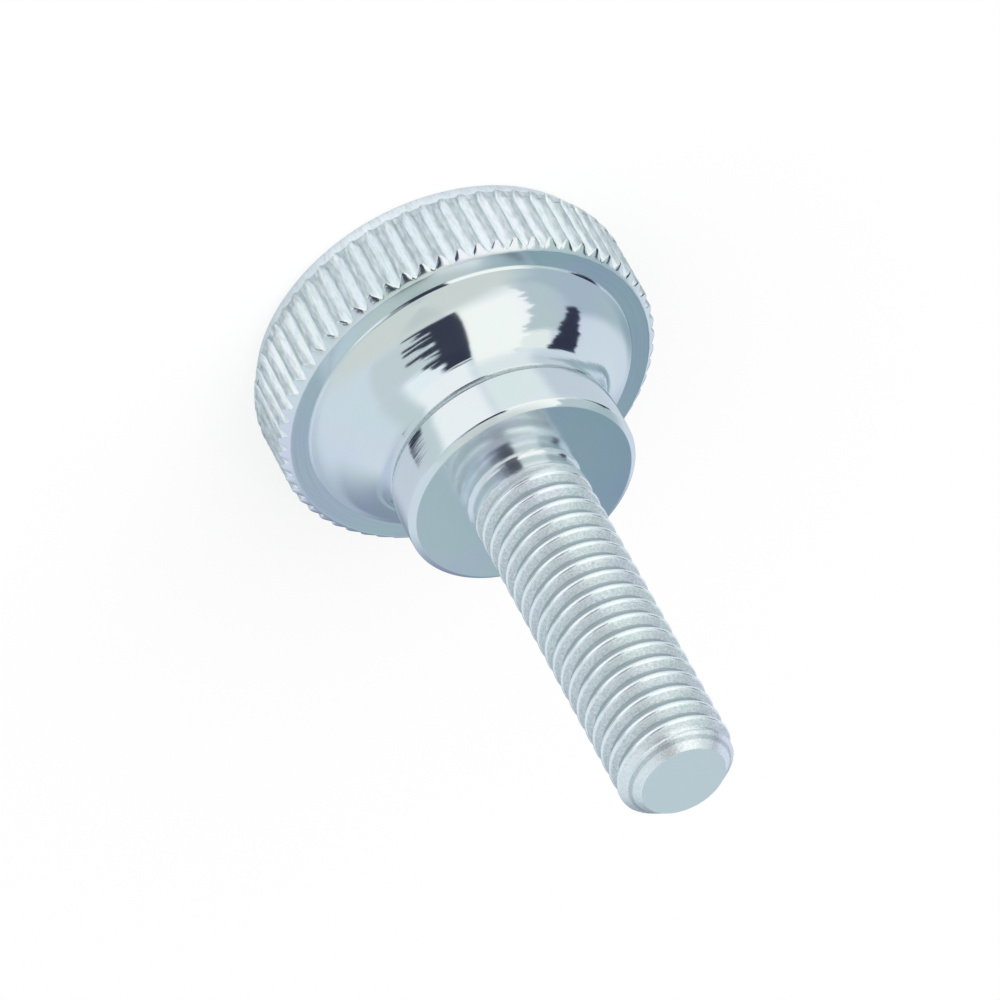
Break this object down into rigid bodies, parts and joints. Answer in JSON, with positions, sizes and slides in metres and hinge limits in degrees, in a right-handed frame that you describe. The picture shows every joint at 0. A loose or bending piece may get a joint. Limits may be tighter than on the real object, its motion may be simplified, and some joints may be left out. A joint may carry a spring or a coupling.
{
  "type": "knurled thumb screw",
  "caption": "Turned thumb screw: knurled round head, hollow flare, seating collar and a threaded shank with a chamfered tip.",
  "frame": {"origin": "centre of the head's flat top face, on which the screw stands", "axes": "+Z along the screw's axis, from the head's flat top towards the tip"},
  "size_m": [0.02, 0.02, 0.032],
  "materials": {
    "zinc_steel": "bright blue-white zinc plating on turned steel"
  },
  "bodies": {
    "root": {"thumb_screw": "zinc_steel"}
  },
  "joints": []
}
